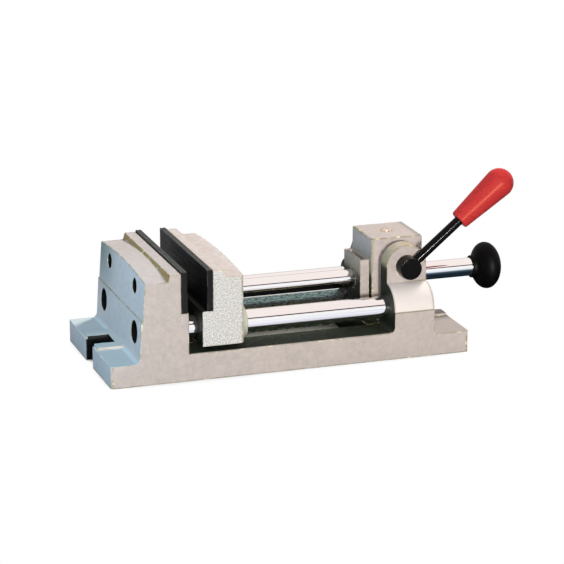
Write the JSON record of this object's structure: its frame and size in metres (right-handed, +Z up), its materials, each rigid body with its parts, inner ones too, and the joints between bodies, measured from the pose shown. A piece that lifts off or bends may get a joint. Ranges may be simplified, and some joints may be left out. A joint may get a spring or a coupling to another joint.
{
  "type": "machine vise",
  "caption": "Quick-action machine vise: slotted cast base with a fixed jaw, a moving jaw on guide rods, and a lever-operated head that locks the pull shaft.",
  "frame": {"origin": "centre of the whole vise, foot end to palm knob, on the plane it stands on", "axes": "+X along the guide rods from the fixed jaw to the palm knob, +Z up, the lever on the -Y side"},
  "size_m": [0.2644, 0.1, 0.1099],
  "materials": {
    "paint": "warm light grey hammered casting paint with cream worn edges",
    "jaw_casting": "silver-grey speckled casting paint",
    "black_plate": "blackened hardened steel, satin",
    "black_screw": "black oxide",
    "chrome": "hard chrome, polished",
    "steel": "machined steel",
    "bronze": "sintered bronze",
    "bush_flange": "pale machined flange",
    "brass": "polished copper-coloured brass",
    "black_gloss": "black phenolic plastic",
    "black_steel": "black gloss enamel",
    "rubber": "nitrile wiper",
    "red_grip": "glossy red moulded plastic"
  },
  "bodies": {
    "base": {"base_casting": "paint", "fixed_jaw_plate": "black_plate", "fixed_plate_screws": "black_screw", "guide_rod_near": "chrome", "guide_rod_far": "chrome", "rod_set_screws": "black_screw", "cam_bushes": "bronze"},
    "moving_jaw": {"moving_jaw": "jaw_casting", "moving_jaw_plate": "black_plate", "moving_plate_screws": "black_screw", "rod_bushes": "bush_flange", "pull_shaft": "chrome", "shaft_pin": "steel", "knob_stud": "steel", "palm_knob": "black_gloss"},
    "clamp_head": {"clamp_head": "paint", "lock_housing": "paint", "lock_housing_screws": "black_screw", "lock_spring": "steel", "shaft_bushes": "bronze", "shaft_wiper": "rubber", "oil_cup": "brass"},
    "lock_plate": {"lock_plate": "steel"},
    "lever": {"cam_shaft": "steel", "lever_hub": "black_steel", "hub_pin": "steel", "lever_rod": "black_steel", "lever_grip": "red_grip", "cam_washer": "steel", "cam_clip": "black_screw"}
  },
  "joints": [
    {"name": "jaw_slide", "type": "slide", "parent": "base", "child": "moving_jaw", "axis": [1, 0, 0], "range_m": [-0.0082, 0.0805]},
    {"name": "lever_turn", "type": "hinge", "parent": "base", "child": "lever", "pos_m": [0.0567, 0, 0.0532], "axis": [0, -1, 0], "range_deg": [0, 80]},
    {"name": "head_slide", "type": "slide", "parent": "base", "child": "clamp_head", "axis": [-1, 0, 0], "range_m": [0, 0.0013]},
    {"name": "plate_tilt", "type": "hinge", "parent": "clamp_head", "child": "lock_plate", "pos_m": [0.03795, 0, 0.02815], "axis": [0, -1, 0], "range_deg": [0, 1]}
  ],
  "couplings": [
    {"joint": "head_slide", "follows": "lever_turn", "m_per_rad": 0.00092073},
    {"joint": "plate_tilt", "follows": "lever_turn", "ratio": 0.0125}
  ]
}
